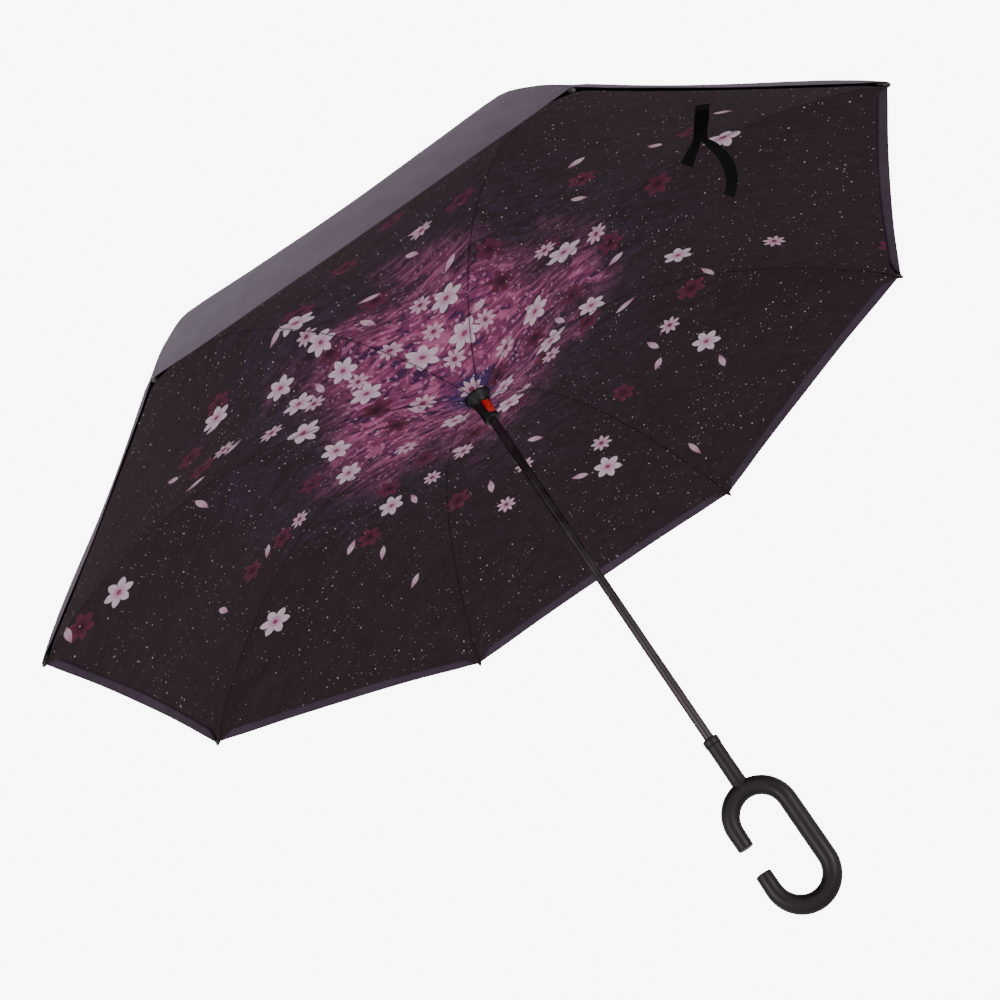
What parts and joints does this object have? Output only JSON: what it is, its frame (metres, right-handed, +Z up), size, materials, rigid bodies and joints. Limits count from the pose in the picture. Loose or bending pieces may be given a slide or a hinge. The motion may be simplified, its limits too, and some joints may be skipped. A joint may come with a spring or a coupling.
{
  "type": "inverted umbrella",
  "caption": "Reverse-folding umbrella: double canopy on hinged ribs, sliding runner with push button, C-shaped wrist handle; ribs fold up over the crown.",
  "frame": {"origin": "middle of the grip, on the shaft's axis, inside the C-shaped loop", "axes": "+Z runs up the shaft to the crown, -X is the side where the C opens, the open ribs stand at 22.5 degrees and each 45 degrees from there"},
  "size_m": [0.9958, 0.9958, 0.7685],
  "materials": {
    "outer_cloth": "satin",
    "inner_cloth": "matte",
    "black_steel": "satin",
    "zinc_wire": "satin",
    "fibreglass": "satin",
    "black_plastic": "satin",
    "soft_grip": "matte",
    "button_red": "satin",
    "ribbon": "matte"
  },
  "bodies": {
    "root": {"shaft_tube": "black_steel", "crown_cap": "black_plastic", "top_notch": "black_plastic", "notch_wire": "zinc_wire", "handle_collar": "black_plastic", "c_handle": "soft_grip"},
    "runner": {"runner": "black_plastic", "runner_wire": "zinc_wire", "button_spring": "zinc_wire"},
    "button": {"push_button": "button_red"},
    "rib_1": {"rib_channel_1": "black_steel", "rib_rod_1": "fibreglass", "outer_canopy_1": "outer_cloth", "inner_canopy_1": "inner_cloth"},
    "rib_2": {"rib_channel_2": "black_steel", "rib_rod_2": "fibreglass", "outer_canopy_2": "outer_cloth", "inner_canopy_2": "inner_cloth"},
    "rib_3": {"rib_channel_3": "black_steel", "rib_rod_3": "fibreglass", "outer_canopy_3": "outer_cloth", "inner_canopy_3": "inner_cloth"},
    "rib_4": {"rib_channel_4": "black_steel", "rib_rod_4": "fibreglass", "outer_canopy_4": "outer_cloth", "inner_canopy_4": "inner_cloth"},
    "rib_5": {"rib_channel_5": "black_steel", "rib_rod_5": "fibreglass", "outer_canopy_5": "outer_cloth", "inner_canopy_5": "inner_cloth"},
    "rib_6": {"rib_channel_6": "black_steel", "rib_rod_6": "fibreglass", "outer_canopy_6": "outer_cloth", "inner_canopy_6": "inner_cloth"},
    "rib_7": {"rib_channel_7": "black_steel", "rib_rod_7": "fibreglass", "outer_canopy_7": "outer_cloth", "inner_canopy_7": "inner_cloth"},
    "rib_8": {"rib_channel_8": "black_steel", "rib_rod_8": "fibreglass", "outer_canopy_8": "outer_cloth", "inner_canopy_8": "inner_cloth"},
    "tip_1": {"rib_tip_1": "black_plastic"},
    "tip_2": {"rib_tip_2": "black_plastic"},
    "tip_3": {"rib_tip_3": "black_plastic"},
    "tip_4": {"rib_tip_4": "black_plastic"},
    "tip_5": {"rib_tip_5": "black_plastic"},
    "tip_6": {"rib_tip_6": "black_plastic"},
    "tip_7": {"rib_tip_7": "black_plastic"},
    "tip_8": {"rib_tip_8": "black_plastic", "closing_strap": "ribbon"},
    "stretcher_1": {"stretcher_1": "black_steel"},
    "stretcher_2": {"stretcher_2": "black_steel"},
    "stretcher_3": {"stretcher_3": "black_steel"},
    "stretcher_4": {"stretcher_4": "black_steel"},
    "stretcher_5": {"stretcher_5": "black_steel"},
    "stretcher_6": {"stretcher_6": "black_steel"},
    "stretcher_7": {"stretcher_7": "black_steel"},
    "stretcher_8": {"stretcher_8": "black_steel"}
  },
  "joints": [
    {"name": "runner_slide", "type": "slide", "parent": "root", "child": "runner", "axis": [0, 0, -1], "range_m": [0, 0.38499]},
    {"name": "button_press", "type": "slide", "parent": "runner", "child": "button", "axis": [-0.5446, 0.8387, 0], "range_m": [0, 0.001], "stiffness_N_per_m": 400, "springref_m": -0.0005, "deforming": ["button_spring"]},
    {"name": "rib_hinge_1", "type": "hinge", "parent": "runner", "child": "rib_1", "pos_m": [0.01063, 0.0044, 0.5905], "axis": [0.3827, -0.9239, 0], "range_deg": [0, 71.2], "deforming": ["outer_canopy_1", "inner_canopy_1"]},
    {"name": "rib_hinge_2", "type": "hinge", "parent": "runner", "child": "rib_2", "pos_m": [0.0044, 0.01063, 0.5905], "axis": [0.9239, -0.3827, 0], "range_deg": [0, 71.2], "deforming": ["outer_canopy_2", "inner_canopy_2"]},
    {"name": "rib_hinge_3", "type": "hinge", "parent": "runner", "child": "rib_3", "pos_m": [-0.0044, 0.01063, 0.5905], "axis": [0.9239, 0.3827, 0], "range_deg": [0, 71.2], "deforming": ["outer_canopy_3", "inner_canopy_3"]},
    {"name": "rib_hinge_4", "type": "hinge", "parent": "runner", "child": "rib_4", "pos_m": [-0.01063, 0.0044, 0.5905], "axis": [0.3827, 0.9239, 0], "range_deg": [0, 71.2], "deforming": ["outer_canopy_4", "inner_canopy_4"]},
    {"name": "rib_hinge_5", "type": "hinge", "parent": "runner", "child": "rib_5", "pos_m": [-0.01063, -0.0044, 0.5905], "axis": [-0.3827, 0.9239, 0], "range_deg": [0, 71.2], "deforming": ["outer_canopy_5", "inner_canopy_5"]},
    {"name": "rib_hinge_6", "type": "hinge", "parent": "runner", "child": "rib_6", "pos_m": [-0.0044, -0.01063, 0.5905], "axis": [-0.9239, 0.3827, 0], "range_deg": [0, 71.2], "deforming": ["outer_canopy_6", "inner_canopy_6"]},
    {"name": "rib_hinge_7", "type": "hinge", "parent": "runner", "child": "rib_7", "pos_m": [0.0044, -0.01063, 0.5905], "axis": [-0.9239, -0.3827, 0], "range_deg": [0, 71.2], "deforming": ["outer_canopy_7", "inner_canopy_7"]},
    {"name": "rib_hinge_8", "type": "hinge", "parent": "runner", "child": "rib_8", "pos_m": [0.01063, -0.0044, 0.5905], "axis": [-0.3827, -0.9239, 0], "range_deg": [0, 71.2], "deforming": ["outer_canopy_8", "inner_canopy_8"]},
    {"name": "rod_flex_1", "type": "hinge", "parent": "rib_1", "child": "tip_1", "pos_m": [0.30155, 0.12491, 0.6494], "axis": [0.3827, -0.9239, 0], "range_deg": [0, 54.1], "deforming": ["rib_rod_1"]},
    {"name": "rod_flex_2", "type": "hinge", "parent": "rib_2", "child": "tip_2", "pos_m": [0.12491, 0.30155, 0.6494], "axis": [0.9239, -0.3827, 0], "range_deg": [0, 54.1], "deforming": ["rib_rod_2"]},
    {"name": "rod_flex_3", "type": "hinge", "parent": "rib_3", "child": "tip_3", "pos_m": [-0.12491, 0.30155, 0.6494], "axis": [0.9239, 0.3827, 0], "range_deg": [0, 54.1], "deforming": ["rib_rod_3"]},
    {"name": "rod_flex_4", "type": "hinge", "parent": "rib_4", "child": "tip_4", "pos_m": [-0.30155, 0.12491, 0.6494], "axis": [0.3827, 0.9239, 0], "range_deg": [0, 54.1], "deforming": ["rib_rod_4"]},
    {"name": "rod_flex_5", "type": "hinge", "parent": "rib_5", "child": "tip_5", "pos_m": [-0.30155, -0.12491, 0.6494], "axis": [-0.3827, 0.9239, 0], "range_deg": [0, 54.1], "deforming": ["rib_rod_5"]},
    {"name": "rod_flex_6", "type": "hinge", "parent": "rib_6", "child": "tip_6", "pos_m": [-0.12491, -0.30155, 0.6494], "axis": [-0.9239, 0.3827, 0], "range_deg": [0, 54.1], "deforming": ["rib_rod_6"]},
    {"name": "rod_flex_7", "type": "hinge", "parent": "rib_7", "child": "tip_7", "pos_m": [0.12491, -0.30155, 0.6494], "axis": [-0.9239, -0.3827, 0], "range_deg": [0, 54.1], "deforming": ["rib_rod_7"]},
    {"name": "rod_flex_8", "type": "hinge", "parent": "rib_8", "child": "tip_8", "pos_m": [0.30155, -0.12491, 0.6494], "axis": [-0.3827, -0.9239, 0], "range_deg": [0, 54.1], "deforming": ["rib_rod_8", "closing_strap"]},
    {"name": "stretcher_hinge_1", "type": "hinge", "parent": "root", "child": "stretcher_1", "pos_m": [0.01063, 0.0044, 0.67], "axis": [-0.3827, 0.9239, 0], "range_deg": [0, 81.2]},
    {"name": "stretcher_hinge_2", "type": "hinge", "parent": "root", "child": "stretcher_2", "pos_m": [0.0044, 0.01063, 0.67], "axis": [-0.9239, 0.3827, 0], "range_deg": [0, 81.2]},
    {"name": "stretcher_hinge_3", "type": "hinge", "parent": "root", "child": "stretcher_3", "pos_m": [-0.0044, 0.01063, 0.67], "axis": [-0.9239, -0.3827, 0], "range_deg": [0, 81.2]},
    {"name": "stretcher_hinge_4", "type": "hinge", "parent": "root", "child": "stretcher_4", "pos_m": [-0.01063, 0.0044, 0.67], "axis": [-0.3827, -0.9239, 0], "range_deg": [0, 81.2]},
    {"name": "stretcher_hinge_5", "type": "hinge", "parent": "root", "child": "stretcher_5", "pos_m": [-0.01063, -0.0044, 0.67], "axis": [0.3827, -0.9239, 0], "range_deg": [0, 81.2]},
    {"name": "stretcher_hinge_6", "type": "hinge", "parent": "root", "child": "stretcher_6", "pos_m": [-0.0044, -0.01063, 0.67], "axis": [0.9239, -0.3827, 0], "range_deg": [0, 81.2]},
    {"name": "stretcher_hinge_7", "type": "hinge", "parent": "root", "child": "stretcher_7", "pos_m": [0.0044, -0.01063, 0.67], "axis": [0.9239, 0.3827, 0], "range_deg": [0, 81.2]},
    {"name": "stretcher_hinge_8", "type": "hinge", "parent": "root", "child": "stretcher_8", "pos_m": [0.01063, -0.0044, 0.67], "axis": [0.3827, 0.9239, 0], "range_deg": [0, 81.2]}
  ],
  "couplings": [
    {"joint": "rib_hinge_1", "follows": "runner_slide", "rad_per_m": 3.2265},
    {"joint": "rib_hinge_2", "follows": "runner_slide", "rad_per_m": 3.2265},
    {"joint": "rib_hinge_3", "follows": "runner_slide", "rad_per_m": 3.2265},
    {"joint": "rib_hinge_4", "follows": "runner_slide", "rad_per_m": 3.2265},
    {"joint": "rib_hinge_5", "follows": "runner_slide", "rad_per_m": 3.2265},
    {"joint": "rib_hinge_6", "follows": "runner_slide", "rad_per_m": 3.2265},
    {"joint": "rib_hinge_7", "follows": "runner_slide", "rad_per_m": 3.2265},
    {"joint": "rib_hinge_8", "follows": "runner_slide", "rad_per_m": 3.2265},
    {"joint": "rod_flex_1", "follows": "runner_slide", "rad_per_m": 2.4481},
    {"joint": "rod_flex_2", "follows": "runner_slide", "rad_per_m": 2.4481},
    {"joint": "rod_flex_3", "follows": "runner_slide", "rad_per_m": 2.4481},
    {"joint": "rod_flex_4", "follows": "runner_slide", "rad_per_m": 2.4481},
    {"joint": "rod_flex_5", "follows": "runner_slide", "rad_per_m": 2.4481},
    {"joint": "rod_flex_6", "follows": "runner_slide", "rad_per_m": 2.4481},
    {"joint": "rod_flex_7", "follows": "runner_slide", "rad_per_m": 2.4481},
    {"joint": "rod_flex_8", "follows": "runner_slide", "rad_per_m": 2.4481},
    {"joint": "stretcher_hinge_1", "follows": "runner_slide", "rad_per_m": 3.6777},
    {"joint": "stretcher_hinge_2", "follows": "runner_slide", "rad_per_m": 3.6777},
    {"joint": "stretcher_hinge_3", "follows": "runner_slide", "rad_per_m": 3.6777},
    {"joint": "stretcher_hinge_4", "follows": "runner_slide", "rad_per_m": 3.6777},
    {"joint": "stretcher_hinge_5", "follows": "runner_slide", "rad_per_m": 3.6777},
    {"joint": "stretcher_hinge_6", "follows": "runner_slide", "rad_per_m": 3.6777},
    {"joint": "stretcher_hinge_7", "follows": "runner_slide", "rad_per_m": 3.6777},
    {"joint": "stretcher_hinge_8", "follows": "runner_slide", "rad_per_m": 3.6777}
  ]
}
